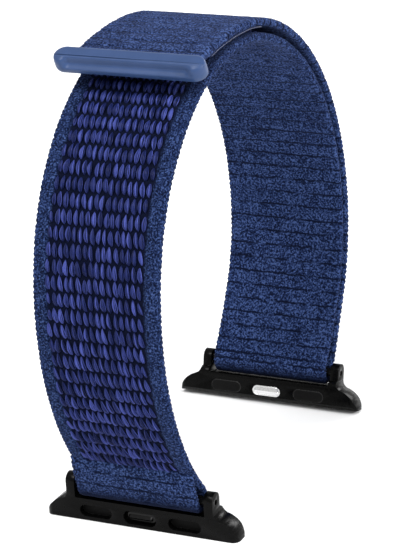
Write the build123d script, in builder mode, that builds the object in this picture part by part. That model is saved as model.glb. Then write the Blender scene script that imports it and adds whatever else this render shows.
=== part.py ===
"""Hook-and-loop strap for a fitness tracker, with a sliding lug connector at each end.

The band stands on its two connectors, closed as a hoop. X runs along the connectors,
Y runs from the front connector to the rear one, and Z is up. Millimetres.
"""

import os
from math import cos, radians, sin

from build123d import *

os.makedirs("parts", exist_ok=True)

# Strap: one woven band, folded round the front bar and threaded round the rear bar.
STRAP_WIDTH = 22.0
MAIN_THICK = 1.6  # ground weave and loop pile together
TAIL_INNER = 2.4  # from the skin face of the main run to the skin face of the tail
TAIL_THICK = 1.3
HOOK_THICK = 0.5
HEM_LENGTH = 5.6
WELD = 0.02  # weld line between the main run and its folded ends
HEM_INSET = 0.1  # the pressed hem starts this far inside the fold's outer face
BAR_OFFSET = 2.45  # from the skin face of the main run to the middle of a spring bar
START_HEADING = 131.3  # of the main run at the front bar, degrees from +Y
ARCS = ((46.1, 55.3), (33.7, 90.4), (40.2, 83.1), (31.5, 21.14), (90.0, 8.24))  # radius, sweep
STOP_MARGIN = 1.0  # a change of radius nearer than this to a band's end is left out

# Connector: a rail that slides into the tracker's case, with two ears for the spring bar.
LUG_LENGTH = 35.0
LUG_DEPTH = 3.8
RAIL_HEIGHT = 3.9
EAR_HEIGHT = 7.9
EAR_INNER = 11.8
EAR_OUTER = 13.35
EAR_DEPTH = 2.8
BAR_HEIGHT = 6.2
FRONT_BAR = (-28.0, 6.2)
REAR_LEAN = 14.0
FOOT_BEVEL = 0.6
WING_TIP = 0.35
WING_MIDDLE = (16.25, 2.3)
WING_ROOT = (14.65, 3.35)
EAR_FOOT_MIDDLE = (13.7, 3.85)
EAR_FOOT = 4.95  # height where the wing's hollow runs into the ear
EAR_HOLLOW = 1.0  # height of the hollow where the ear steps back from the rail
PLAN_ROUND = 1.3

# Windows through the rail, for two grip pads and the latch between them.
WINDOW_PITCH = 8.1
WINDOW_LENGTH = 5.9
WINDOW_HEIGHT = 2.1
WINDOW_LEVEL = 1.75
PAD_DEPTH = 2.8
LATCH_LENGTH = 5.5
LATCH_HEIGHT = 1.9
LATCH_PROUD = 0.4
LATCH_ROUND = 0.32
LATCH_PLAY = 0.05
LATCH_MARGIN = 0.2  # how far the flange stands out past the button
LIP = 0.7
FLANGE = 0.6
CAP_DEPTH = 0.6
CAP_RECESS = 0.5
CAP_ROUND = 0.36
LATCH_SPRING_R = 0.75
LATCH_SPRING_TURNS = 4

# Spring bar.
BARREL_R = 0.75
BARREL_BORE_R = 0.55
BARREL_NECK_R = 0.48
BARREL_HALF = 11.6
NECK_LENGTH = 0.4
STEM_R = 0.43
HEAD_R = 0.51
HEAD_LENGTH = 1.0
TIP_REACH = 13.1
TIP_CHAMFER = 0.12
EAR_HOLE_R = 0.48
BAR_SPRING_R = 0.36
BAR_SPRING_TURNS = 16
WIRE_R = 0.1
SPRING_GAP = 0.05
FOLD_PLAY = 0.1
FOLD_THICK = 1.3
FOLD_CUT = 2.0  # how deep a fold is cut away where it would run into the main run
FOLD_REACH = 6.6  # length of the main run that a fold can touch

# End tab, moulded in two shells round the tail's end.
TAB_LENGTH = 26.2
TAB_ALONG = 3.9
TAB_THICK = 3.2
TAB_AT = (73.6, 5.75)  # distance along the main run, height over its skin face
TAB_SPLIT = ((1.95, 0.2), (-0.45, 1.6))  # the joint in section: up the band, over the tab's middle
TAB_ROUND = 1.75
TAB_EDGE = 1.15

# The tail's segments, which hinge as it is peeled, in distance along the main run.
TAIL_END = 73.0
TAIL_LIFT_FROM = 92.0
TAIL_LIFT = 0.0065  # rise towards the tab, per square millimetre
HINGE_TOP = 104.0
HINGE_REAR = 142.0
TAIL_LEAVES = 168.0  # from here the tail spreads round the rear bar
TAIL_GAP = 0.5
HOOK_FROM = 79.0
HOOK_TO = 97.0

half_width = STRAP_WIDTH / 2
bar_depth = (LUG_DEPTH - EAR_DEPTH) / 2
fold_inner = BARREL_R + FOLD_PLAY
fold_outer = fold_inner + FOLD_THICK
start_normal = (-sin(radians(START_HEADING)), cos(radians(START_HEADING)))
start_y = FRONT_BAR[0] - BAR_OFFSET * start_normal[0]
start_z = FRONT_BAR[1] - BAR_OFFSET * start_normal[1]
run_length = sum(radius * radians(sweep) for radius, sweep in ARCS)


def hoop_frame(along):
    """Point and outward normal of the main run's skin face, as (y, z, normal y, normal z)."""
    y, z, heading = start_y, start_z, radians(START_HEADING)
    for radius, sweep in ARCS:
        turn = min(max(along, 0) / radius, radians(sweep))
        y += radius * (sin(heading) - sin(heading - turn))
        z -= radius * (cos(heading) - cos(heading - turn))
        heading -= turn
        along -= turn * radius
    return y, z, -sin(heading), cos(heading)


def hoop(along, height=0.0):
    """The point at a distance along the main run, raised off its skin face: (y, z)."""
    y, z, normal_y, normal_z = hoop_frame(along)
    return y + height * normal_y, z + height * normal_z


def tail_height(along):
    """Height of the tail's skin face, which lifts towards the end tab."""
    return TAIL_INNER + TAIL_LIFT * max(TAIL_LIFT_FROM - along, 0) ** 2


def stops_between(start, end):
    """The two ends, and between them the places where the run's radius changes."""
    stops, along = [start], 0.0
    for radius, sweep in ARCS:
        along += radius * radians(sweep)
        if start + STOP_MARGIN < along < end - STOP_MARGIN:
            stops.append(along)
    return [*stops, end]


def band_outline(stops, low, high):
    """Closed outline of a band over the run; low and high give its height at a distance."""
    for height in (low, high):
        for here, there in zip(stops, stops[1:]):
            middle = (here + there) / 2
            ThreePointArc(
                hoop(here, height(here)), hoop(middle, height(middle)), hoop(there, height(there))
            )
    for end in (stops[0], stops[-1]):
        Line(hoop(end, low(end)), hoop(end, high(end)))


def band(stops, low, high):
    with BuildPart() as strip:
        with BuildSketch(Plane.YZ):
            with BuildLine():
                band_outline(stops, low, high)
            make_face()
        extrude(amount=half_width, both=True)
    return strip.part


def save(part, name):
    part.label = name
    export_step(part, f"parts/{name}.step")


# ---- places of the two connectors ----

end_y, end_z, end_normal_y, end_normal_z = hoop_frame(run_length)
REAR_BAR = (end_y + BAR_OFFSET * end_normal_y, end_z + BAR_OFFSET * end_normal_z)


def lug_plane(bar, lean, outward):
    """Plane at the middle of the rail's foot: x along it, y up the lug, z out of its outer face."""
    tilt = radians(lean)
    up = Vector(0, outward * sin(tilt), cos(tilt))
    out = Vector(0, outward * cos(tilt), -sin(tilt))
    foot = Vector(0, *bar) - up * BAR_HEIGHT - out * bar_depth
    return Plane(origin=foot, x_dir=(-outward, 0, 0), z_dir=out)


front_plane = lug_plane(FRONT_BAR, 0.0, -1)
rear_plane = lug_plane(REAR_BAR, REAR_LEAN, 1)

# ---- strap: main run, folded hem, tail ----

with BuildPart() as strap_main_run:
    add(band(stops_between(0, run_length), lambda s: 0.0, lambda s: MAIN_THICK))
    with BuildSketch(Plane.YZ.offset(-half_width)):
        with Locations(FRONT_BAR, REAR_BAR):
            Circle(fold_inner)
    extrude(amount=STRAP_WIDTH, mode=Mode.SUBTRACT)
save(strap_main_run.part, "strap_main_run")

with BuildPart() as front_hem:
    with BuildSketch(Plane.YZ):
        with Locations(FRONT_BAR):
            Circle(fold_outer)
        with BuildLine():
            Polyline(
                (FRONT_BAR[0] - fold_outer + HEM_INSET, FRONT_BAR[1]),
                hoop(HEM_LENGTH, MAIN_THICK),
                hoop(0, MAIN_THICK),
                FRONT_BAR,
                close=True,
            )
        make_face()
        with Locations(FRONT_BAR):
            Circle(fold_inner, mode=Mode.SUBTRACT)
        with BuildLine():
            band_outline([0, FOLD_REACH], lambda s: -FOLD_CUT, lambda s: MAIN_THICK + WELD)
        make_face(mode=Mode.SUBTRACT)
    extrude(amount=half_width, both=True)
save(front_hem.part, "front_hem")

with BuildPart() as tail_rear_run:
    add(
        band(
            stops_between(HINGE_REAR + TAIL_GAP / 2, TAIL_LEAVES),
            lambda s: TAIL_INNER,
            lambda s: TAIL_INNER + TAIL_THICK,
        )
    )
    with BuildSketch(Plane.YZ):
        with Locations(REAR_BAR):
            Circle(fold_outer)
        with BuildLine():
            Polyline(
                hoop(TAIL_LEAVES, TAIL_INNER),
                hoop(TAIL_LEAVES, TAIL_INNER + TAIL_THICK),
                hoop(run_length, BAR_OFFSET + fold_outer),
                hoop(run_length, BAR_OFFSET + fold_inner),
                close=True,
            )
        make_face()
        with Locations(REAR_BAR):
            Circle(fold_inner, mode=Mode.SUBTRACT)
        with BuildLine():
            cut_stops = [run_length - FOLD_REACH, run_length]
            band_outline(cut_stops, lambda s: -FOLD_CUT, lambda s: MAIN_THICK + WELD)
        make_face(mode=Mode.SUBTRACT)
    extrude(amount=half_width, both=True)
save(tail_rear_run.part, "tail_rear_run")

tail_top_run = band(
    stops_between(HINGE_TOP + TAIL_GAP / 2, HINGE_REAR - TAIL_GAP / 2),
    lambda s: TAIL_INNER,
    lambda s: TAIL_INNER + TAIL_THICK,
)
save(tail_top_run, "tail_top_run")

tail_end_run = band(
    [TAIL_END, (TAIL_END + TAIL_LIFT_FROM) / 2, TAIL_LIFT_FROM, HINGE_TOP - TAIL_GAP / 2],
    tail_height,
    lambda s: tail_height(s) + TAIL_THICK,
)
save(tail_end_run, "tail_end_run")

with BuildPart() as hook_patch:
    add(
        band(
            [HOOK_FROM, (HOOK_FROM + TAIL_LIFT_FROM) / 2, TAIL_LIFT_FROM, HOOK_TO],
            lambda s: tail_height(s) - HOOK_THICK,
            lambda s: tail_height(s) + HOOK_THICK,
        )
    )
    add(tail_end_run, mode=Mode.SUBTRACT)
save(hook_patch.part, "hook_patch")

# ---- end tab ----

tab_y, tab_z = hoop(*TAB_AT)
tab_normal = Vector(0, *hoop_frame(TAB_AT[0])[2:])
tab_plane = Plane(origin=(0, tab_y, tab_z), x_dir=(1, 0, 0), z_dir=tab_normal)

with BuildPart() as tab:
    with BuildSketch(tab_plane):
        RectangleRounded(TAB_LENGTH, TAB_ALONG, TAB_ROUND)
    extrude(amount=TAB_THICK / 2, both=True)
    across = Axis((0, 0, 0), tab_normal)
    fillet(tab.faces().sort_by(across)[0].edges(), TAB_EDGE)
    fillet(tab.faces().sort_by(across)[-1].edges(), TAB_EDGE)
    add(tail_end_run, mode=Mode.SUBTRACT)

(split_y, split_z), (seam_y, seam_z) = TAB_SPLIT
split_normal = tab_plane.y_dir * (seam_z - split_z) + tab_plane.z_dir * (split_y - seam_y)
split_origin = tab_plane.from_local_coords(Vector(0, split_y, split_z))
split_plane = Plane(origin=split_origin, x_dir=(1, 0, 0), z_dir=split_normal)
with BuildPart() as tab_upper_shell:
    add(tab.part)
    split(bisect_by=split_plane, keep=Keep.TOP)
save(tab_upper_shell.part, "tab_upper_shell")

with BuildPart() as tab_lower_shell:
    add(tab.part)
    split(bisect_by=split_plane, keep=Keep.BOTTOM)
save(tab_lower_shell.part, "tab_lower_shell")


# ---- connectors ----

skin = -LUG_DEPTH / 2
outer = LUG_DEPTH / 2
half_length = LUG_LENGTH / 2


def pill(plane, middle, length, height, from_depth, to_depth):
    """A pin of pill section along the rail's depth, between two depths."""
    with BuildPart() as pin:
        with BuildSketch(plane.offset(from_depth)):
            with Locations((middle, WINDOW_LEVEL)):
                SlotOverall(length, height)
        extrude(amount=to_depth - from_depth)
    return pin.part


def make_lug(plane):
    """Rail, wings and ears in one piece of metal."""
    ear_skin = outer - EAR_DEPTH
    ear_round = EAR_DEPTH / 2
    across = Plane(origin=plane.origin + plane.x_dir * half_length, x_dir=plane.z_dir, z_dir=-plane.x_dir)
    foot_plane = Plane(origin=plane.origin, x_dir=plane.x_dir, z_dir=plane.y_dir)
    with BuildPart() as lug:
        # Seen from outside the hoop.
        with BuildSketch(plane.offset(skin)):
            with BuildLine():
                Polyline((0, RAIL_HEIGHT), (0, 0), (half_length, 0), (half_length, WING_TIP))
                ThreePointArc((half_length, WING_TIP), WING_MIDDLE, WING_ROOT)
                ThreePointArc(WING_ROOT, EAR_FOOT_MIDDLE, (EAR_OUTER, EAR_FOOT))
                Polyline(
                    (EAR_OUTER, EAR_FOOT),
                    (EAR_OUTER, EAR_HEIGHT),
                    (EAR_INNER, EAR_HEIGHT),
                    (EAR_INNER, RAIL_HEIGHT),
                    (0, RAIL_HEIGHT),
                )
            make_face()
            mirror(about=Plane.YZ)
        extrude(amount=LUG_DEPTH)
        # Seen along the rail: bevelled foot, ears set back from the skin side, round tops.
        with BuildSketch(across):
            with BuildLine():
                Polyline(
                    (skin, RAIL_HEIGHT),
                    (skin, FOOT_BEVEL),
                    (skin + FOOT_BEVEL, 0),
                    (outer, 0),
                    (outer, EAR_HEIGHT - ear_round),
                )
                ThreePointArc(
                    (outer, EAR_HEIGHT - ear_round),
                    (outer - ear_round, EAR_HEIGHT),
                    (ear_skin, EAR_HEIGHT - ear_round),
                )
                Line((ear_skin, EAR_HEIGHT - ear_round), (ear_skin, RAIL_HEIGHT + EAR_HOLLOW))
                RadiusArc((ear_skin, RAIL_HEIGHT + EAR_HOLLOW), (skin, RAIL_HEIGHT), -EAR_HOLLOW)
            make_face()
        extrude(amount=LUG_LENGTH, mode=Mode.INTERSECT)
        with BuildSketch(foot_plane):
            RectangleRounded(LUG_LENGTH, LUG_DEPTH, PLAN_ROUND)
        extrude(amount=EAR_HEIGHT, mode=Mode.INTERSECT)
        # Holes for the spring bar's tips.
        with BuildSketch(across):
            with Locations((bar_depth, BAR_HEIGHT)):
                Circle(EAR_HOLE_R)
        extrude(amount=LUG_LENGTH, mode=Mode.SUBTRACT)
        # Windows: two for the pads, and a stepped one that keeps the latch in.
        for side in (-1, 1):
            middle = side * WINDOW_PITCH
            add(pill(plane, middle, WINDOW_LENGTH, WINDOW_HEIGHT, skin, outer), mode=Mode.SUBTRACT)
        play = 2 * LATCH_PLAY
        add(pill(plane, 0, LATCH_LENGTH + play, LATCH_HEIGHT + play, skin, outer), mode=Mode.SUBTRACT)
        step = 2 * LATCH_MARGIN + play
        add(
            pill(plane, 0, LATCH_LENGTH + step, LATCH_HEIGHT + step, skin + LIP, outer),
            mode=Mode.SUBTRACT,
        )
    return lug.part


def make_latch(plane):
    """Sprung button that pokes through the skin face, with a flange behind the lip."""
    margin = 2 * LATCH_MARGIN
    with BuildPart() as latch:
        add(pill(plane, 0, LATCH_LENGTH, LATCH_HEIGHT, skin - LATCH_PROUD, skin + LIP))
        fillet(latch.faces().sort_by(Axis((0, 0, 0), plane.z_dir))[0].edges(), LATCH_ROUND)
        flange_end = skin + LIP + FLANGE
        add(pill(plane, 0, LATCH_LENGTH + margin, LATCH_HEIGHT + margin, skin + LIP, flange_end))
    return latch.part


def make_cap(plane):
    """Cover pressed into the latch's window from outside, behind the spring."""
    step = 2 * LATCH_MARGIN + 2 * LATCH_PLAY
    top = outer - CAP_RECESS
    with BuildPart() as cap:
        add(pill(plane, 0, LATCH_LENGTH + step, LATCH_HEIGHT + step, top - CAP_DEPTH, top))
        fillet(cap.faces().sort_by(Axis((0, 0, 0), plane.z_dir))[-1].edges(), CAP_ROUND)
    return cap.part


def make_pad(plane, middle):
    with BuildPart() as pad:
        add(pill(plane, middle, WINDOW_LENGTH, WINDOW_HEIGHT, skin, skin + PAD_DEPTH))
    return pad.part


def coil(start, along, length, radius, turns):
    """Wire coil between two seats, with a small gap at each end."""
    rise = length - 2 * (SPRING_GAP + WIRE_R)
    base = start + along * (SPRING_GAP + WIRE_R)
    with BuildPart() as spring:
        with BuildLine() as path:
            Helix(pitch=rise / turns, height=rise, radius=radius, center=base, direction=along)
        with BuildSketch(Plane(origin=path.line @ 0, z_dir=path.line % 0)):
            Circle(WIRE_R)
        sweep(path=path.line, is_frenet=True)
    return spring.part


def make_barrel(bar):
    """Spring bar's tube, crimped in at both ends to keep the plungers."""
    with BuildPart() as barrel:
        with BuildSketch(Plane.YZ):
            with Locations(bar):
                Circle(BARREL_R)
                Circle(BARREL_NECK_R, mode=Mode.SUBTRACT)
        extrude(amount=BARREL_HALF, both=True)
        with BuildSketch(Plane.YZ):
            with Locations(bar):
                Circle(BARREL_BORE_R)
        extrude(amount=BARREL_HALF - NECK_LENGTH, both=True, mode=Mode.SUBTRACT)
    return barrel.part


def make_plunger(bar, side):
    """Headed pin: the head stays in the barrel, the tip sits in an ear."""
    neck = BARREL_HALF - NECK_LENGTH
    along = Vector(side, 0, 0)
    with BuildPart() as plunger:
        with BuildSketch(Plane(origin=(side * (neck - HEAD_LENGTH), *bar), z_dir=along)):
            Circle(HEAD_R)
        extrude(amount=HEAD_LENGTH)
        with BuildSketch(Plane(origin=(side * neck, *bar), z_dir=along)):
            Circle(STEM_R)
        extrude(amount=TIP_REACH - neck)
        chamfer(plunger.faces().sort_by(Axis((0, 0, 0), along))[-1].edges(), TIP_CHAMFER)
    return plunger.part


head_seat = BARREL_HALF - NECK_LENGTH - HEAD_LENGTH
latch_seat = skin + LIP + FLANGE
cap_seat = outer - CAP_RECESS - CAP_DEPTH
for name, plane, bar in (("front", front_plane, FRONT_BAR), ("rear", rear_plane, REAR_BAR)):
    save(make_lug(plane), f"{name}_lug")
    save(make_latch(plane), f"{name}_latch_button")
    save(make_cap(plane), f"{name}_latch_cap")
    seat = plane.from_local_coords(Vector(0, WINDOW_LEVEL, latch_seat))
    room = cap_seat - latch_seat
    save(coil(seat, plane.z_dir, room, LATCH_SPRING_R, LATCH_SPRING_TURNS), f"{name}_latch_spring")
    for hand, side in (("left", -1), ("right", 1)):
        middle = side * plane.x_dir.X * WINDOW_PITCH
        save(make_pad(plane, middle), f"{name}_grip_pad_{hand}")
        save(make_plunger(bar, side), f"{name}_bar_plunger_{hand}")
    save(make_barrel(bar), f"{name}_bar_barrel")
    spring_start = Vector(-head_seat, *bar)
    save(
        coil(spring_start, Vector(1, 0, 0), 2 * head_seat, BAR_SPRING_R, BAR_SPRING_TURNS),
        f"{name}_bar_spring",
    )
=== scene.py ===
"""Looks of a hook-and-loop tracker strap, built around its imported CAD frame.

Lengths are worked out in millimetres along the band and turned into metres as meshes are made.
"""

import math

import bmesh
import bpy
import numpy as np
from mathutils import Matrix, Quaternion, Vector


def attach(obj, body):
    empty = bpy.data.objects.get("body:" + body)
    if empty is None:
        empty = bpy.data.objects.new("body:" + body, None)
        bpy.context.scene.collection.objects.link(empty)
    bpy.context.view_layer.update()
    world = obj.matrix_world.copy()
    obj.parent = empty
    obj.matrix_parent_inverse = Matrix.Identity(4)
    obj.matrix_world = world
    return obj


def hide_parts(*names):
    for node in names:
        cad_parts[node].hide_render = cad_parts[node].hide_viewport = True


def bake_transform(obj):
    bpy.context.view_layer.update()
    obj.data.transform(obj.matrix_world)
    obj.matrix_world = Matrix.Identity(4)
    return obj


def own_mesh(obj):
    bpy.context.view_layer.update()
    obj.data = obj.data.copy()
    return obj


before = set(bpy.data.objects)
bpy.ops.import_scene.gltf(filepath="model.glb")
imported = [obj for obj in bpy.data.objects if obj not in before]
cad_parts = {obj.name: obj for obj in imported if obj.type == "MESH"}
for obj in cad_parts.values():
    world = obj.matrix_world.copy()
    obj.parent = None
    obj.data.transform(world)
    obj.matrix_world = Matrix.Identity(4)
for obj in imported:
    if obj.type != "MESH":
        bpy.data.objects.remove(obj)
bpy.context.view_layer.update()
MM = 0.001

# ---- the band's route, as in part.py: (radius, sweep in degrees) ----

ARCS = ((46.1, 55.3), (33.7, 90.4), (40.2, 83.1), (31.5, 21.14), (90.0, 8.24))
START_HEADING = 131.3
BAR_OFFSET = 2.45
FRONT_BAR = np.array((-28.0, 6.2))
FOLD_INNER = 0.85
FOLD_OUTER = 2.15
HALF_WIDTH = 11.0
TAIL_INNER = 2.4
TAIL_THICK = 1.3
TAIL_END = 73.0
TAIL_LIFT_FROM = 92.0
TAIL_LIFT = 0.0065
TAIL_LEAVES = 168.0
HINGE_TOP = 104.0
HINGE_REAR = 142.0
BEND_LEAD = 4.0  # how far behind its hinge the fabric starts to bend
HOOK_FROM = 79.0
HOOK_TO = 97.0
HEM_END = 6.4
RUN_LENGTH = sum(radius * math.radians(sweep) for radius, sweep in ARCS)

GROUND = 1.0  # thickness of the ground weave under the loop pile
SELVEDGE = 1.3  # thickness of the plain edges
PILE_HALF = 8.5  # half width of the field of loops
ROW_PITCH = 2.55
TUFT_PITCH = 1.06
STITCH = 0.85  # pitch of the stitches along the edge
STEP_ALONG = STITCH / 4
STEP_ACROSS = 0.5
STEP_EDGE = 0.22
EDGE_ROUND = 0.55  # how far the rounded edge stands out from the flat of the band
WALE = 0.86  # width of one column of stitches in the selvedge
SCALLOP = 0.2  # how far the stitches stand out along the edge
NAP_LEVEL = 0.06  # the brushed face's middle height, taken off so that it averages zero
PILE_FROM = 7.4
PILE_ROWS_SHOWN = 27
PILE_SHOWN_TO = 76.0
PILE_TO = 166.0
HOOP_MIDDLE = (0.0, 0.0, 38.0)

# ---- the hard pieces, as in part.py, except the tables of rings and sections ----

TAB_AT = 73.6
TAB_HEIGHT = 5.75
TAB_HALF = 13.1
TAB_DEEP = 1.95
# Sections of the two shells: forward and outward of the tab's middle, how far a point rises
# where the seam is closed, and how far it moves where the channel has run out.
TAB_UPPER = (
    (0.42, 1.34, 0.25, 0, 0),
    (0.38, 1.53, 0.08, 0, 0),
    (0.15, 1.61, 0, 0, 0),
    (-0.6, 1.6, 0, 0, 0),
    (-1.3, 1.52, 0, 0, 0),
    (-1.75, 1.2, 0, 0, 0),
    (-1.93, 0.7, 0, 0, 0),
    (-1.95, 0.2, 0, 0, 0),
)
TAB_LOWER = (
    (0.47, 1.3, 0.28, 0, 0),
    (0.52, 1.5, 0.1, 0, 0),
    (0.75, 1.55, 0, 0, 0),
    (0.95, 1.38, 0, 0.12, 0.08),
    (1.06, 0.95, 0, 0.5, 0.3),
    (1.14, 0.46, 0, 0.68, 0.42),
    (1.5, 0.16, 0, 0.42, 0.36),
    (1.95, -0.02, 0, 0, 0),
    (2.0, -0.4, 0, 0, 0),
    (1.85, -0.95, 0, 0, 0),
    (1.45, -1.4, 0, 0, 0),
    (0.7, -1.6, 0, 0, 0),
    (-0.7, -1.6, 0, 0, 0),
    (-1.5, -1.4, 0, 0, 0),
    (-1.88, -0.9, 0, 0, 0),
    (-1.95, -0.3, 0, 0, 0),
    (-1.95, 0.14, 0, 0, 0),
)
BAR_HEIGHT = 6.2
BAR_DEPTH = 0.5
REAR_LEAN = 14.0
WINDOW_LEVEL = 1.75
LEDGE_LEVEL = 0.9  # least upward share of a face's normal on the ledge under the band
LEDGE_HALF = 8 * MM
LATCH_SIZE = (5.5, 1.9)
CAP_SIZE = (6.0, 2.4)
# Rings of each: inset from the outline, depth along the rail's thickness, share of height left.
LATCH_RINGS = (
    (-0.2, -0.6, 1.0),
    (-0.2, -1.18, 1.0),
    (0.0, -1.2, 1.0),
    (0.0, -2.0, 1.0),
    (0.06, -2.12, 1.0),
    (0.2, -2.18, 1.0),
    (0.26, -2.14, 1.0),
    (0.3, -2.14, 1.0),
    (0.4, -2.3, 0.03),
)
CAP_RINGS = (
    (0.0, 0.8, 1.0),
    (0.0, 0.98, 1.0),
    (0.1, 1.15, 1.0),
    (0.28, 1.27, 1.0),
    (0.5, 1.34, 1.0),
    (0.75, 1.38, 1.0),
    (1.0, 1.74, 0.1),
)


def route(along):
    """Points and outward normals of the main run's skin face, as two (n, 2) arrays of (y, z)."""
    along = np.atleast_1d(np.asarray(along, float)).copy()
    heading = np.full(along.shape, math.radians(START_HEADING))
    start = FRONT_BAR + BAR_OFFSET * np.array(
        (math.sin(heading[0]), -math.cos(heading[0]))
    )
    y, z = np.full(along.shape, start[0]), np.full(along.shape, start[1])
    for radius, sweep in ARCS:
        turn = np.clip(along / radius, 0, math.radians(sweep))
        y += radius * (np.sin(heading) - np.sin(heading - turn))
        z -= radius * (np.cos(heading) - np.cos(heading - turn))
        heading = heading - turn
        along = along - turn * radius
    return np.stack((y, z), 1), np.stack((-np.sin(heading), np.cos(heading)), 1)


def raised(along, height):
    """Points over the main run at a height off its skin face."""
    points, normals = route(along)
    return points + normals * np.reshape(np.broadcast_to(height, np.shape(along)), (-1, 1))


REAR_BAR = raised([RUN_LENGTH], BAR_OFFSET)[0]
ENDS = {"front": (FRONT_BAR, 0.0, -1), "rear": (REAR_BAR, REAR_LEAN, 1)}  # bar, lean, outward


def smooth(t):
    t = np.clip(t, 0, 1)
    return t * t * (3 - 2 * t)


def noise(x, y, cell, seed):
    """Smooth random field between 0 and 1 with features about one cell wide."""
    table = np.random.default_rng(seed).random((256, 256))
    u, v = np.asarray(x) / cell + 40, np.asarray(y) / cell + 40
    i, j = np.floor(u).astype(int), np.floor(v).astype(int)
    a, b = smooth(u - i), smooth(v - j)
    i, j = i % 255, j % 255
    top = table[i, j] * (1 - a) + table[i + 1, j] * a
    low = table[i, j + 1] * (1 - a) + table[i + 1, j + 1] * a
    return top * (1 - b) + low * b


# ---- relief of the knitted faces, in millimetres ----


def velour(x, s):
    """Brushed face: mottled nap with broken cross ribs."""
    nap = 0.07 * noise(x, s, 0.5, 1) + 0.04 * noise(x, s, 0.27, 2)
    groove = np.exp(-(((s / ROW_PITCH) % 1 - 0.5) * ROW_PITCH / 0.22) ** 2)
    return nap - 0.16 * groove * smooth(noise(x, s, 2.2, 3) * 1.8 - 0.2)


def knit(x, s):
    """Plain selvedge: wales of slanting stitches."""
    column = np.sin(math.pi * x / WALE)
    wale = np.abs(column)
    slope = 0.45 * wale * np.sign(column)
    slant = 0.5 + 0.5 * np.sin(2 * math.pi * (s / STITCH + slope))
    return 0.12 * wale * (0.45 + 0.55 * slant) + 0.05 * noise(x, s, 0.4, 4) - 0.08


def pile_ground(x, s):
    """Outer face of the main run: sunk under the loops, raised at the plain edges."""
    edge = smooth((np.abs(x) - PILE_HALF + 0.2) / 0.7)
    rows = 0.07 * np.sin(2 * math.pi * s / ROW_PITCH)
    return edge * (SELVEDGE - GROUND + knit(x, s)) + (1 - edge) * rows


def ring_across(centre_step):
    """One loop round the band's section: x, and height from -1 underneath to 1 on top."""
    flat = HALF_WIDTH - EDGE_ROUND
    under = np.linspace(-flat, flat, int(2 * flat / STEP_ACROSS) + 1)[::-1]
    edge = np.append(np.arange(PILE_HALF, flat, STEP_EDGE), flat)
    centre = np.linspace(-PILE_HALF, PILE_HALF, int(2 * PILE_HALF / centre_step))[1:-1]
    over = np.concatenate((-edge[::-1], centre, edge))
    bend = np.radians([60, 30, 0, -30, -60])
    side = flat + EDGE_ROUND * np.cos(bend)
    x = np.concatenate((over, side, under, -side))
    height = (np.ones_like(over), np.sin(bend), -np.ones_like(under), -np.sin(bend))
    return x, np.concatenate(height)


def ring_faces(rows, ring):
    """Quads between rows of points that each go round in a ring, and a face at each end."""
    a = np.arange(ring)
    b = (a + 1) % ring
    start = (np.arange(rows - 1) * ring)[:, None]
    quads = np.stack((start + a, start + b, start + ring + b, start + ring + a), -1)
    faces = quads.reshape(-1, 4).tolist()
    faces.append(a[::-1].tolist())
    faces.append((a + (rows - 1) * ring).tolist())
    return faces


def strip(
    name, low, high, along, relief_low, relief_high, scallop=SCALLOP, centre_step=STEP_ACROSS
):
    """Closed band between two rows of (y, z) points, with rounded and scalloped edges."""
    low, high = np.asarray(low), np.asarray(high)
    thick = np.linalg.norm(high - low, axis=1)
    out = (high - low) / thick[:, None]
    middle = (low + high) / 2
    ring_x, ring_h = ring_across(centre_step)
    x, s = np.meshgrid(ring_x, along)
    h = np.broadcast_to(ring_h, x.shape)
    relief = np.where(h > 0, relief_high(x, s), relief_low(x, s)) * h**2
    height = h * thick[:, None] / 2 + np.sign(h) * relief
    wave = scallop * (np.abs(np.sin(math.pi * s / STITCH)) - 0.6)
    wave += 0.5 * scallop * (np.abs(np.sin(math.pi * s / STITCH / 2)) - 0.6)
    wave += 0.08 * (noise(s, x, 1.3, 5) - 0.5)
    x = x + np.sign(x) * np.where(np.abs(x) > HALF_WIDTH - EDGE_ROUND, wave, 0)
    co = np.empty((*x.shape, 3))
    co[..., 0] = x
    co[..., 1:] = middle[:, None, :] + out[:, None, :] * height[..., None]
    rows, ring = x.shape
    piece = new_piece(name, co.reshape(-1, 3), ring_faces(rows, ring))
    mesh = piece.data
    uv = mesh.uv_layers.new(name="band")
    corner = np.empty(len(mesh.loops), int)
    mesh.loops.foreach_get("vertex_index", corner)
    flat_uv = np.stack((x.ravel(), np.repeat(along, ring)), 1)[corner]
    uv.data.foreach_set("uv", flat_uv.ravel())
    pairs = np.empty(len(mesh.edges) * 2, int)
    mesh.edges.foreach_get("vertices", pairs)
    pairs = pairs.reshape(-1, 2)
    ends = (pairs < ring).all(1) | (pairs >= (rows - 1) * ring).all(1)
    sharp = mesh.attributes.new("sharp_edge", "BOOLEAN", "EDGE")
    sharp.data.foreach_set("value", ends)
    return piece


def placed(name, data):
    """A new object in the scene."""
    item = bpy.data.objects.new(name, data)
    bpy.context.scene.collection.objects.link(item)
    return item


def new_piece(name, points, faces):
    """Smooth-shaded mesh object from points in millimetres."""
    mesh = bpy.data.meshes.new(name)
    mesh.from_pydata((np.asarray(points) * MM).tolist(), [], faces)
    mesh.validate()
    mesh.shade_smooth()
    return placed(name, mesh)


# ---- materials ----


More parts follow.
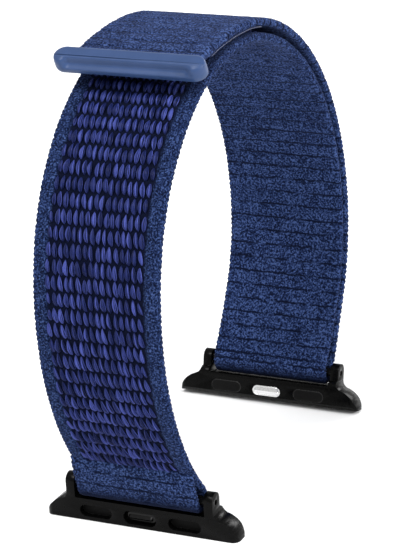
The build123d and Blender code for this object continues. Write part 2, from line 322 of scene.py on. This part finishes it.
class Nodes:
    """A material's node tree, with short calls for the nodes used here."""

    def __init__(self, name):
        self.material = bpy.data.materials.new(name)
        self.material.use_nodes = True
        self.tree = self.material.node_tree
        self.shader = self.tree.nodes["Principled BSDF"]

    def add(self, kind, links=(), **settings):
        node = self.tree.nodes.new(kind)
        for key, value in settings.items():
            setattr(node, key, value)
        for socket, value in dict(links).items():
            self.set(node, socket, value)
        return node

    def set(self, node, socket, value):
        if hasattr(value, "is_output"):
            self.tree.links.new(value, node.inputs[socket])
        else:
            node.inputs[socket].default_value = value

    def coordinates(self, kind="Object", scale=1000.0):
        source = self.add("ShaderNodeTexCoord").outputs[kind]
        mapping = self.add("ShaderNodeMapping", {"Vector": source, "Scale": (scale,) * 3})
        return mapping.outputs["Vector"]

    def noise(self, vector, scale, detail=2.0, rough=0.5):
        node = self.add(
            "ShaderNodeTexNoise",
            {"Vector": vector, "Scale": scale, "Detail": detail, "Roughness": rough},
        )
        return node.outputs["Fac"]

    def math(self, operation, a, b=0.0, clamp=False):
        node = self.add("ShaderNodeMath", {0: a, 1: b}, operation=operation, use_clamp=clamp)
        return node.outputs[0]

    def ramp(self, value, *stops):
        node = self.add("ShaderNodeValToRGB", {"Fac": value})
        while len(node.color_ramp.elements) < len(stops):
            node.color_ramp.elements.new(0.5)
        for element, (place, colour) in zip(node.color_ramp.elements, stops):
            element.position = place
            element.color = (*colour, 1) if hasattr(colour, "__len__") else (colour,) * 3 + (1,)
        return node.outputs["Color"]

    def grain(self, value, low, high):
        """A colour or a grey between two, as a noise value goes through its middle range."""
        return self.ramp(value, (0.3, low), (0.7, high))

    def band(self):
        """The place on the band in millimetres: X across it and Y along it."""
        place = self.add("ShaderNodeTexCoord").outputs["UV"]
        return self.add("ShaderNodeSeparateXYZ", {0: place}).outputs

    def mix(self, factor, a, b):
        node = self.add("ShaderNodeMix", data_type="RGBA")
        self.set(node, 0, factor)
        for socket, value in ((6, a), (7, b)):
            self.set(node, socket, value if hasattr(value, "is_output") else (*value, 1))
        return node.outputs[2]

    def fold_shade(self, colour):
        """Painted shade: the fabric's colour darkens low down, where it folds round the spring
        bars.
        """
        low = self.add("ShaderNodeSeparateXYZ", {0: self.coordinates()}).outputs["Z"]
        above = self.math("SUBTRACT", low, SHADE_FULL)
        height = self.math("DIVIDE", above, SHADE_FADE, clamp=True)
        return self.mix(height, NAVY_DARK, colour)

    def bump(self, height, distance, strength=1.0):
        node = self.add(
            "ShaderNodeBump", {"Height": height, "Distance": distance * MM, "Strength": strength}
        )
        self.set(self.shader, "Normal", node.outputs["Normal"])

    def finish(self, colour, roughness, **uniform):
        self.set(self.shader, "Base Color", colour)
        self.set(self.shader, "Roughness", roughness)
        for socket, value in uniform.items():
            self.shader.inputs[socket.replace("_", " ")].default_value = value
        return self.material


NAVY_DARK = (0.0010, 0.003, 0.014)
NAVY = (0.0095, 0.020, 0.070)
NAVY_LIGHT = (0.045, 0.078, 0.205)
# Painted shade: the colour of the ground among the loops.
PILE_SHADE = (0.0009, 0.0022, 0.011)
SHADE_FULL = 4.8  # height in mm up to which the painted fold shade is fully dark
SHADE_FADE = 2.6  # and over which that fades
NAP = {
    "Specular_IOR_Level": 0.08,
    "Sheen_Weight": 0.05,
    "Sheen_Roughness": 0.5,
    "Sheen_Tint": (0.3, 0.42, 0.9, 1),
}


def velour_fabric():
    """Brushed nylon: mottled nap, with painted shade in its broken cross ribs."""
    n = Nodes("velour_fabric")
    place = n.coordinates()
    fine = n.noise(place, 3.0, 2.0, 0.6)
    broad = n.noise(place, 0.35, 2.0)
    mottle = n.math("ADD", fine, n.math("MULTIPLY", n.math("SUBTRACT", broad, 0.5), 0.15))
    colour = n.ramp(mottle, (0.37, NAVY_DARK), (0.5, NAVY), (0.63, NAVY_LIGHT))
    # Painted shade: the colour darkens along the broken cross ribs, where the relief's grooves
    # sink.
    waver = n.math("MULTIPLY", n.noise(place, 0.8, 1.0), 0.25)
    rows = n.math("DIVIDE", n.band()["Y"], ROW_PITCH)
    phase = n.math("FRACT", n.math("ADD", rows, waver))
    off = n.math("ABSOLUTE", n.math("SUBTRACT", phase, 0.5))
    groove = n.math("SUBTRACT", 1.3, n.math("MULTIPLY", off, 12.0), clamp=True)
    patches = n.math("SUBTRACT", n.noise(place, 0.3, 2.0), 0.33)
    patchy = n.math("MULTIPLY", patches, 6.0, clamp=True)
    colour = n.mix(n.math("MULTIPLY", groove, patchy), colour, NAVY_DARK)
    n.bump(n.noise(place, 3.5, 2.0, 0.6), 0.2)
    return n.finish(n.fold_shade(colour), 0.95, **NAP)


def ground_fabric():
    """Knitted ground: lighter on the plain edges, with painted shade, near black, between the
    loops.
    """
    n = Nodes("ground_fabric")
    place = n.coordinates()
    fine = n.noise(place, 3.4, 2.0, 0.6)
    knitted = n.ramp(fine, (0.40, NAVY_DARK), (0.53, NAVY), (0.68, NAVY_LIGHT))
    past = n.math("SUBTRACT", n.math("ABSOLUTE", n.band()["X"]), PILE_HALF - 0.3)
    edge = n.math("MULTIPLY", past, 2.0, clamp=True)
    colour = n.mix(edge, PILE_SHADE, knitted)
    n.bump(n.noise(place, 3.5, 2.0, 0.6), 0.22)
    return n.finish(n.fold_shade(colour), 0.95, **NAP)


def loop_yarn():
    """Shiny filament nylon, each filament with its own tone."""
    n = Nodes("loop_yarn")
    place = n.coordinates()
    tone = n.add("ShaderNodeAttribute", attribute_name="tone").outputs["Fac"]
    dark, middle, light = (0.005, 0.009, 0.05), (0.015, 0.024, 0.12), (0.058, 0.078, 0.31)
    colour = n.ramp(tone, (0.0, dark), (0.5, middle), (0.95, light))
    n.bump(n.noise(place, 9.0, 2.0), 0.03)
    return n.finish(colour, 0.42, Specular_IOR_Level=0.14)


def hook_plastic():
    """Moulded hook tape, darker than the band."""
    n = Nodes("hook_tape")
    place = n.coordinates()
    colour = n.grain(n.noise(place, 1.5), (0.006, 0.012, 0.045), (0.012, 0.024, 0.09))
    n.bump(n.noise(place, 3.0), 0.05)
    return n.finish(colour, 0.5)


def tab_plastic():
    """Satin moulded plastic with a faint grain."""
    n = Nodes("tab_plastic")
    place = n.coordinates()
    cloud = n.noise(place, 0.25, 2.0)
    colour = n.grain(cloud, (0.022, 0.048, 0.128), (0.028, 0.057, 0.148))
    rough = n.grain(n.noise(place, 1.2, 3.0), 0.36, 0.46)
    n.bump(n.noise(place, 9.0, 2.0), 0.012)
    return n.finish(colour, rough, Specular_IOR_Level=0.25)


def black_metal(name, low, high, gloss):
    """Black coated metal with a faint grain."""
    n = Nodes(name)
    place = n.coordinates()
    colour = n.grain(n.noise(place, 2.5, 3.0), low, high)
    rough = n.grain(n.noise(place, 2.0, 4.0), 0.2, 0.3)
    n.bump(n.noise(place, 14.0, 2.0), 0.004)
    return n.finish(colour, rough, Specular_IOR_Level=gloss)


def rubber():
    """Matte black rubber with a fine skin."""
    n = Nodes("pad_rubber")
    place = n.coordinates()
    colour = n.grain(n.noise(place, 2.0), 0.0015, 0.003)
    n.bump(n.noise(place, 8.0, 2.0), 0.02)
    return n.finish(colour, 0.6, Specular_IOR_Level=0.1)


def steel(name, grey, roughness):
    """Bright metal with fine turning marks."""
    n = Nodes(name)
    place = n.coordinates()
    colour = n.grain(n.noise(place, 3.0, 3.0), grey * 0.85, grey)
    n.bump(n.noise(place, 12.0, 2.0), 0.004)
    return n.finish(colour, roughness, Metallic=1.0)


def gloss_black():
    """Glossy black plastic with slightly uneven polish."""
    n = Nodes("gloss_black")
    place = n.coordinates()
    colour = n.grain(n.noise(place, 1.0), 0.001, 0.002)
    rough = n.grain(n.noise(place, 3.0), 0.12, 0.2)
    return n.finish(colour, rough, Specular_IOR_Level=0.2)


def dress(piece, material):
    """Give a piece this one material."""
    piece.data.materials.clear()
    piece.data.materials.append(material)


# ---- fabric pieces ----


def bare(x, s):
    """No relief."""
    return np.zeros_like(x)


def brushed(x, s):
    """The brushed face with its nap sunk to lie about the CAD face."""
    return velour(x, s) - NAP_LEVEL


def plain_back(x, s):
    """The tail's plain underside."""
    return knit(x, s) * 0.5


def main_run(fabric, outer):
    """The band from the front bar to the rear one: smooth inside, loops outside."""
    along = np.linspace(0, RUN_LENGTH, int(RUN_LENGTH / STEP_ALONG))
    piece = strip(
        "strap_main_band",
        raised(along, 0.0),
        raised(along, GROUND),
        along,
        brushed,
        pile_ground,
        centre_step=1.0,
    )
    dress(piece, fabric)
    piece.data.materials.append(outer)
    normals = np.array([face.normal for face in piece.data.polygons])
    centres = np.array([face.center for face in piece.data.polygons]) / MM
    away = ((centres - HOOP_MIDDLE)[:, 1:] * normals[:, 1:]).sum(1) > 0
    piece.data.polygons.foreach_set("material_index", away.astype(np.int32))
    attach(piece, "strap")
    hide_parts("strap_main_run")


def ring(bar, angles, radius):
    """Points round a spring bar at the given angles."""
    radius = np.broadcast_to(radius, angles.shape)
    return bar + np.stack((np.cos(angles), np.sin(angles)), 1) * radius[:, None]


def front_hem(fabric):
    """The fixed end, folded round the front bar and pressed flat on the outer face."""
    turn = np.radians(np.linspace(START_HEADING - 90, -180, 60))
    settle = smooth(turn[0] - turn)
    skin = ring(FRONT_BAR, turn, BAR_OFFSET + (FOLD_OUTER - BAR_OFFSET) * settle)
    core = ring(FRONT_BAR, turn, FOLD_INNER)
    rise = np.linspace(0, 1, 24)[1:, None]
    top_out = raised([HEM_END], SELVEDGE + 0.06)[0]
    top_in = raised([HEM_END], GROUND - 0.1)[0]
    # The hem bulges a little over its height, and has a thin stitched ridge near its top.
    swell = 0.45 * np.sin(math.pi * rise) + 0.12 * np.exp(-(((rise - 0.82) / 0.06) ** 2))
    outer = skin[-1] * (1 - rise) + top_out * rise + np.array((-0.8, 0.6)) * swell
    inner = core[-1] * (1 - rise) + top_in * rise
    low, high = np.concatenate((core, inner)), np.concatenate((skin, outer))
    steps = np.linalg.norm(np.diff(high, axis=0), axis=1)
    along = np.concatenate(([0], np.cumsum(steps))) + 1.3
    piece = strip("strap_front_hem", low, high, along, bare, brushed)
    dress(piece, fabric)
    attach(piece, "strap")
    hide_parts("front_hem")


def tail_height(along):
    """Height of the tail's underside over the main run's skin face."""
    return TAIL_INNER + TAIL_LIFT * np.maximum(TAIL_LIFT_FROM - np.asarray(along), 0) ** 2


def tail(fabric):
    """The free end, from the fold round the rear bar to the end tab, in two lengths."""
    split = (HINGE_TOP + HINGE_REAR) / 2
    end_normal = route([RUN_LENGTH])[1][0]
    first = math.atan2(-end_normal[1], -end_normal[0])
    turn = np.linspace(first, first + math.pi, 60)[:-1]
    settle = smooth(turn - first)
    skin = ring(REAR_BAR, turn, BAR_OFFSET + (FOLD_OUTER - BAR_OFFSET) * settle)
    core = ring(REAR_BAR, turn, FOLD_INNER)
    back = np.linspace(RUN_LENGTH, split, int((RUN_LENGTH - split) / STEP_ALONG))
    leaving = smooth((back - TAIL_LEAVES) / (RUN_LENGTH - TAIL_LEAVES))
    spread = (BAR_OFFSET + FOLD_INNER - TAIL_INNER) * leaving
    low = np.concatenate((core, raised(back, TAIL_INNER + spread)))
    high = np.concatenate((skin, raised(back, TAIL_INNER + TAIL_THICK + spread)))
    along = np.concatenate((RUN_LENGTH + (first + math.pi - turn) * FOLD_OUTER, back))
    lower = strip("strap_tail_lower", low, high, along, plain_back, velour)
    front = np.linspace(split, TAIL_END, int((split - TAIL_END) / STEP_ALONG))
    height = tail_height(front)
    upper = strip(
        "strap_tail_upper",
        raised(front, height),
        raised(front, height + TAIL_THICK),
        front,
        plain_back,
        velour,
    )
    for piece, hinge, reach, parent, child in (
        (lower, HINGE_REAR, 9.0, "strap", "tail_top"),
        (upper, HINGE_TOP, 6.5, "tail_top", "tail_end"),
    ):
        dress(piece, fabric)
        # Where a bend round the hinge would start and end, though nothing here uses them; a bend
        # that began well behind its hinge would press the band into the loops.
        start, end = raised([hinge + BEND_LEAD, hinge - reach], TAIL_INNER + TAIL_THICK) * MM
        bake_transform(piece)
    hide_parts("tail_rear_run", "tail_top_run")
    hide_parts("tail_end_run")


def tubes(name, centres, radii, tones, sides=4):
    """Many thin tubes as one mesh: centres (tube, point, 3), radii (tube, point), tones (tube)."""
    count, points = centres.shape[:2]
    ahead = np.gradient(centres, axis=1)
    ahead /= np.linalg.norm(ahead, axis=2, keepdims=True)
    side = np.zeros_like(ahead)
    side[..., 0] = 1
    side -= ahead * (side * ahead).sum(2, keepdims=True)
    side /= np.linalg.norm(side, axis=2, keepdims=True)
    up = np.cross(ahead, side)
    angle = np.linspace(0, 2 * math.pi, sides, endpoint=False)
    around = side[:, :, None] * np.cos(angle)[:, None] + up[:, :, None] * np.sin(angle)[:, None]
    co = centres[:, :, None] + around * radii[:, :, None, None]
    one = ring_faces(points, sides)
    starts = (np.arange(count) * points * sides)[:, None]
    quads = (np.array(one[:-2]) + starts[..., None]).reshape(-1, 4).tolist()
    first = (np.array(one[-2]) + starts).tolist()
    last = (np.array(one[-1]) + starts).tolist()
    piece = new_piece(name, co.reshape(-1, 3), quads + first + last)
    tone = piece.data.attributes.new("tone", "FLOAT", "POINT")
    tone.data.foreach_set("value", np.repeat(tones, points * sides).astype(np.float32))
    return piece


def loop_pile(name, first, last, filaments, yarn, seed):
    """Rows of arched tufts, each a bundle of filaments that meet at their two roots."""
    rng = np.random.default_rng(seed)
    rows = np.arange(first, last, ROW_PITCH)
    columns = np.arange(-PILE_HALF + 0.35, PILE_HALF - 0.3, TUFT_PITCH)
    s0, x0 = (g.ravel() for g in np.meshgrid(rows, columns, indexing="ij"))
    s0 = s0 + rng.normal(0, 0.06, s0.shape)
    x0 = x0 + rng.normal(0, 0.06, s0.shape)
    t = np.linspace(0, 1, 8)
    spread = np.linspace(-1, 1, filaments)
    lean = 0.85 - 0.6 * smooth(s0 / 60) + rng.normal(0, 0.12, s0.shape)
    tall = 0.72 + rng.normal(0, 0.06, s0.shape)
    long = ROW_PITCH * (0.98 + rng.normal(0, 0.04, s0.shape))
    wide = 0.36 + rng.normal(0, 0.03, s0.shape)
    rim = smooth((np.abs(x0) - PILE_HALF + 1.5) / 1.2) * rng.random(s0.shape)
    tall, long, wide = tall * (1 - 0.5 * rim), long * (1 - 0.3 * rim), wide * (1 - 0.4 * rim)
    shape = (len(s0), filaments, len(t))
    arch = np.sin(math.pi * t**0.85) ** 0.75
    jitter = rng.normal(0, 0.04, (*shape[:2], 1))
    petal = np.sin(math.pi * t**0.8) ** 0.9
    x = x0[:, None, None] - lean[:, None, None] * (t - 0.5)
    x = x + (wide[:, None, None] * spread[:, None] + jitter) * petal
    s = s0[:, None, None] + long[:, None, None] * (t - 0.5) + rng.normal(0, 0.05, (*shape[:2], 1))
    dome = 1 - 0.4 * (spread**2)[:, None]
    h = GROUND - 0.1 + tall[:, None, None] * arch * dome + jitter * 0.6
    points, normals = route(s.ravel())
    centre = np.empty((s.size, 3))
    centre[:, 0] = x.ravel()
    centre[:, 1:] = points + normals * h.reshape(-1, 1)
    centres = centre.reshape(shape[0] * shape[1], shape[2], 3)
    radii = np.broadcast_to(0.04 + 0.06 * petal, centres.shape[:2])
    tuft_tone = rng.normal(0.5, 0.12, (shape[0], 1))
    tones = np.clip(tuft_tone + rng.normal(0, 0.28, shape[:2]), 0, 1).ravel()
    piece = tubes(name, centres, radii, tones)
    dress(piece, yarn)
    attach(piece, "strap")


def hook_patch(plastic):
    """Moulded hook tape under the tail's end: a backing with rows of small hooks."""
    along = np.linspace(HOOK_FROM, HOOK_TO, 60)
    height = tail_height(along)
    backing = strip(
        "hook_tape",
        raised(along, height - 0.25),
        raised(along, height + 0.02),
        along,
        bare,
        bare,
        scallop=0.0,
    )
    dress(backing, plastic)
    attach(backing, "tail_end")
    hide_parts("hook_patch")
    rows = np.arange(HOOK_FROM + 0.6, HOOK_TO - 0.8, 0.9)
    columns = np.arange(-10.2, 10.3, 0.75)
    s0, x0 = (g.ravel() for g in np.meshgrid(rows, columns))
    # Each hook goes down from the backing and turns over: how far down and how far along.
    drop = 0.2 + np.array((0.0, 0.06, 0.1, 0.16, 0.1, 0.02))
    ahead = np.array((0.0, 0.0, 0.03, 0.12, 0.21, 0.24))
    s = s0[:, None] + ahead
    h = tail_height(s) - drop
    points, normals = route(s.ravel())
    centres = np.empty((s.size, 3))
    centres[:, 0] = np.repeat(x0, len(drop))
    centres[:, 1:] = points + normals * h.reshape(-1, 1)
    centres = centres.reshape(len(s0), len(drop), 3)
    radii = np.full(centres.shape[:2], 0.06)
    hooks = tubes("hook_tape_hooks", centres, radii, np.full(len(s0), 0.5))
    dress(hooks, plastic)
    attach(hooks, "tail_end")


# ---- hard pieces ----


def bevelled(node, body, slot, width, *materials):
    """The CAD node again with its sharp edges broken, which take the last of the materials, a
    lighter one that is partly a painted edge highlight.

    With three materials, the second, the metal with its reflection taken away as painted shade,
    goes on the ledge under the band.
    """
    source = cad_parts[node]
    name = node + "_finished"
    shape = bmesh.new()
    shape.from_mesh(source.data)
    shape.transform(source.matrix_world)
    bmesh.ops.remove_doubles(shape, verts=shape.verts, dist=0.002 * MM)
    flat = math.radians(0.8)
    bmesh.ops.dissolve_limit(
        shape, angle_limit=flat, verts=shape.verts, edges=shape.edges, delimit=set()
    )
    for face in shape.faces:
        face.smooth = True
        level = face.normal.z > LEDGE_LEVEL and abs(face.calc_center_median().x) < LEDGE_HALF
        face.material_index = int(level and len(materials) > 2)
    mesh = bpy.data.meshes.new(name)
    shape.to_mesh(mesh)
    shape.free()
    for material in materials:
        mesh.materials.append(material)
    piece = placed(name, mesh)
    bevel = piece.modifiers.new("edges", "BEVEL")
    bevel.width = width * MM
    bevel.segments = 2
    bevel.limit_method = "ANGLE"
    bevel.angle_limit = math.radians(32)
    bevel.harden_normals = True
    bevel.material = len(materials) - 1
    graph = bpy.context.evaluated_depsgraph_get()
    done = bpy.data.meshes.new_from_object(piece.evaluated_get(graph))
    piece.modifiers.clear()
    piece.data = done
    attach(piece, body)
    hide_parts(node)


def loft(name, rings):
    """Closed mesh through rings of points, flat at both ends."""
    rings = np.asarray(rings)
    piece = new_piece(name, rings.reshape(-1, 3), ring_faces(*rings.shape[:2]))
    shape = bmesh.new()
    shape.from_mesh(piece.data)
    bmesh.ops.recalc_face_normals(shape, faces=shape.faces)
    shape.to_mesh(piece.data)
    shape.free()
    return piece


def lean_axes(end):
    """A connector's own upward and outward directions."""
    lean, outward = ENDS[end][1:]
    tilt = math.radians(lean)
    up = np.array((0, outward * math.sin(tilt), math.cos(tilt)))
    return up, np.array((0, outward * math.cos(tilt), -math.sin(tilt)))


def pin(node, end, body, size, table, material):
    """A pill-shaped piece in the rail's middle window, lofted through insets and depths."""
    bar = ENDS[end][0]
    up, out = lean_axes(end)
    foot = np.array((0, *bar)) - up * BAR_HEIGHT - out * BAR_DEPTH
    turn = np.linspace(0, 2 * math.pi, 56, endpoint=False)
    length, height = size
    rings = []
    for inset, depth, flat in table:
        radius = height / 2 - inset
        x = np.sign(np.cos(turn)) * (length - height) / 2 + radius * np.cos(turn)
        y = WINDOW_LEVEL + radius * np.sin(turn) * flat
        rings.append(foot + x[:, None] * np.array((1, 0, 0)) + y[:, None] * up + depth * out)
    piece = loft(f"{end}_{node}_finished", rings)
    piece.data.set_sharp_from_angle(angle=math.radians(28))
    dress(piece, material)
    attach(piece, f"{end}_{body}")
    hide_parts(f"{end}_{node}")


def coil(node, body, joint, axis, metal, half=False):
    """A coil spring again, or the half of it before the middle, named after the joint that presses
    it.
    """
    axis = Vector(axis)
    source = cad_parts[node]
    shape = bmesh.new()
    shape.from_mesh(source.data)
    shape.transform(source.matrix_world)
    if half:
        parts = [*shape.verts, *shape.edges, *shape.faces]
        cut = bmesh.ops.bisect_plane(
            shape, geom=parts, plane_co=(0, 0, 0), plane_no=-axis, clear_inner=True
        )
        rim = [item for item in cut["geom_cut"] if isinstance(item, bmesh.types.BMEdge)]
        bmesh.ops.edgeloop_fill(shape, edges=rim)
    name = f"{node}_{joint}"
    mesh = bpy.data.meshes.new(name)
    shape.to_mesh(mesh)
    shape.free()
    mesh.shade_smooth()
    piece = placed(name, mesh)
    dress(piece, metal)
    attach(piece, body)
    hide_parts(node)
    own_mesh(piece)


def spline(points, count):
    """Smooth curve through control points (..., k, 2), as (..., n, 2)."""
    points = np.concatenate((2 * points[..., :1, :] - points[..., 1:2, :], points), -2)
    points = np.concatenate((points, 2 * points[..., -1:, :] - points[..., -2:-1, :]), -2)
    pieces = []
    t = np.linspace(0, 1, count, endpoint=False)[:, None]
    for k in range(1, points.shape[-2] - 2):
        a, b, c, d = (points[..., k + i : k + i + 1, :] for i in (-1, 0, 1, 2))
        cubic = 2 * b + (c - a) * t + (2 * a - 5 * b + 4 * c - d) * t**2
        pieces.append((cubic + (3 * b - a - 3 * c + d) * t**3) / 2)
    pieces.append(points[..., -2:-1, :])
    return np.concatenate(pieces, -2)


def tab_shell(name, outline, plastic):
    """One of the end tab's two moulded shells, from its section: (forward, outward) points."""
    centre = raised([TAB_AT], TAB_HEIGHT)[0]
    normal = route([TAB_AT])[1][0]
    forward = np.array((-normal[1], normal[0]))
    sweep = np.linspace(-math.pi / 2, math.pi / 2, 90)
    x = TAB_HALF * np.sin(sweep)
    past = np.clip((np.abs(x) - TAB_HALF + TAB_DEEP) / TAB_DEEP, 0, 1)
    plan = np.sqrt(1 - 0.998 * past**2)[:, None, None]
    outline = np.array(outline)
    section = np.broadcast_to(outline[:, :2], (len(x), len(outline), 2)).copy()
    # The seam closes up towards the right, and the channel runs out before each end.
    seam = (1 - smooth((x + 3) / 9))[:, None]
    section[..., 1] += outline[:, 2] * (1 - seam)
    channel = smooth((TAB_HALF - 1.6 - np.abs(x)) / 1.4)[:, None]
    section += outline[:, 3:5] * (1 - channel)[..., None]
    # The underside is a little shallower just left of the middle.
    waist = 0.12 * np.exp(-(((x + 3.5) / 5) ** 2))[:, None]
    underside = section[..., 1] < -1
    section[..., 1] = np.where(underside, section[..., 1] * (1 - waist), section[..., 1])
    section[..., :1] *= plan
    section[..., 1:] *= 1 - 0.42 * (1 - plan)
    smooth_part = spline(section, 6)
    rings = np.empty((*smooth_part.shape[:2], 3))
    rings[..., 0] = x[:, None]
    rings[..., 1:] = centre + smooth_part[..., :1] * forward + smooth_part[..., 1:] * normal
    piece = loft(name + "_finished", rings)
    dress(piece, plastic)
    piece.data.set_sharp_from_angle(angle=math.radians(60))
    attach(piece, "tail_end")
    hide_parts(name)


# ---- studio ----


FLOOR_HALF = 3.0
WORLD_STRENGTH = 0.72
SUN_STRENGTH = 1.15
SUN_SPREAD = 50  # degrees: a wide sun, for soft shadows
SUN_FROM = (0.1, -0.5, 1.0)
LIT_POINT = (0, 0, 0.04)
# Name, place, width and power of each lamp, all aimed at the lit point.
LAMPS = (
    ("key", (-0.1, -0.35, 0.6), 0.2, 2.0),
    ("side", (0.6, -0.1, 0.35), 0.08, 3.0),
    ("back", (0.25, 0.55, 0.3), 0.22, 1.6),
)


def studio():
    """Pale floor and soft light."""
    mesh = bpy.data.meshes.new("floor")
    corners = [(x * FLOOR_HALF, y * FLOOR_HALF, 0) for x, y in ((-1, -1), (1, -1), (1, 1), (-1, 1))]
    mesh.from_pydata(corners, [], [(0, 1, 2, 3)])
    floor = placed("floor", mesh)
    n = Nodes("floor_paper")
    colour = n.grain(n.noise(n.coordinates(scale=10.0), 1.0), 0.93, 0.95)
    dress(floor, n.finish(colour, 0.9))
    world = bpy.data.worlds.new("studio")
    world.use_nodes = True
    sky = world.node_tree.nodes["Background"].inputs
    sky["Color"].default_value = (1, 1, 1, 1)
    sky["Strength"].default_value = WORLD_STRENGTH
    bpy.context.scene.world = world
    bpy.context.scene.view_settings.view_transform = "Standard"
    sun = bpy.data.lights.new("overhead", "SUN")
    sun.energy = SUN_STRENGTH
    sun.angle = math.radians(SUN_SPREAD)
    lamp = placed("overhead", sun)
    lamp.rotation_euler = (-Vector(SUN_FROM)).to_track_quat("-Z", "Y").to_euler()
    for name, place, width, power in LAMPS:
        light = bpy.data.lights.new(name, "AREA")
        light.size = width
        light.energy = power
        lamp = placed(name, light)
        lamp.location = place
        aim = Vector(LIT_POINT) - Vector(place)
        lamp.rotation_euler = aim.to_track_quat("-Z", "Y").to_euler()


CAMERA_TURNS = (26.28, 20.83, -3.66)  # azimuth, elevation and roll in degrees
CAMERA_TARGET = (-1.06, 2.0, 32.75)
CAMERA_DISTANCE = 405.0
CAMERA_LENS = 155.9


def camera():
    """A long lens from the front right, above the band."""
    azimuth, elevation, roll = (math.radians(v) for v in CAMERA_TURNS)
    target = Vector(CAMERA_TARGET) * MM
    distance = CAMERA_DISTANCE * MM
    back = Vector(
        (
            math.sin(azimuth) * math.cos(elevation),
            -math.cos(azimuth) * math.cos(elevation),
            math.sin(elevation),
        )
    )
    data = bpy.data.cameras.new("camera")
    data.lens = CAMERA_LENS
    data.sensor_width = 36.0
    data.clip_start, data.clip_end = 0.01, 20
    view = placed("camera", data)
    view.location = target + back * distance
    view.rotation_mode = "QUATERNION"
    view.rotation_quaternion = Quaternion(back, roll) @ (-back).to_track_quat("-Z", "Y")
    bpy.context.scene.camera = view


studio()
camera()
fabric, outer, yarn, hooks = velour_fabric(), ground_fabric(), loop_yarn(), hook_plastic()
main_run(fabric, outer)
front_hem(fabric)
tail(fabric)
pile_hidden_from = PILE_FROM + ROW_PITCH * PILE_ROWS_SHOWN
loop_pile("loop_pile_front", PILE_FROM, PILE_SHOWN_TO, 6, yarn, seed=11)
loop_pile("loop_pile_under_tail", pile_hidden_from, PILE_TO, 4, yarn, seed=12)
hook_patch(hooks)

metal = black_metal("black_metal", 0.001, 0.002, 0.07)
# Painted shade: the same black metal without its reflection, for the ledge in the band's shadow.
ledge = black_metal("black_metal_ledge_shade", 0.001, 0.002, 0.001)
# Lighter, glossier materials for the bevelled edges: the bevels are real, and their lighter colour
# is a painted highlight.
pad_edge_highlight = black_metal("pad_edge_highlight", 0.015, 0.025, 0.2)
metal_edge_highlight = black_metal("black_metal_edge_highlight", 0.004, 0.008, 0.16)
bar_black = black_metal("bar_black", 0.003, 0.006, 0.2)
pad, cap = rubber(), gloss_black()
polished = steel("polished_steel", 0.85, 0.16)
drawn = steel("drawn_steel", 0.55, 0.3)
tab = tab_plastic()
for end in ENDS:
    body = f"{end}_connector"
    bevelled(f"{end}_lug", body, "lug_metal", 0.12, metal, ledge, metal_edge_highlight)
    pin("latch_button", end, "latch", LATCH_SIZE, LATCH_RINGS, polished)
    pin("latch_cap", end, "connector", CAP_SIZE, CAP_RINGS, cap)
    for hand in ("left", "right"):
        bevelled(f"{end}_grip_pad_{hand}", body, "pad_rubber", 0.14, pad, pad_edge_highlight)
        dress(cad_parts[f"{end}_bar_plunger_{hand}"], bar_black)
    dress(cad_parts[f"{end}_bar_barrel"], bar_black)
    out = lean_axes(end)[1]
    coil(f"{end}_latch_spring", body, f"{end}_latch_press", out, drawn)
    for hand, way in (("left", (1, 0, 0)), ("right", (-1, 0, 0))):
        slide = f"{end}_plunger_{hand}_slide"
        coil(f"{end}_bar_spring", body, slide, way, drawn, half=True)
tab_shell("tab_upper_shell", TAB_UPPER, tab)
tab_shell("tab_lower_shell", TAB_LOWER, tab)
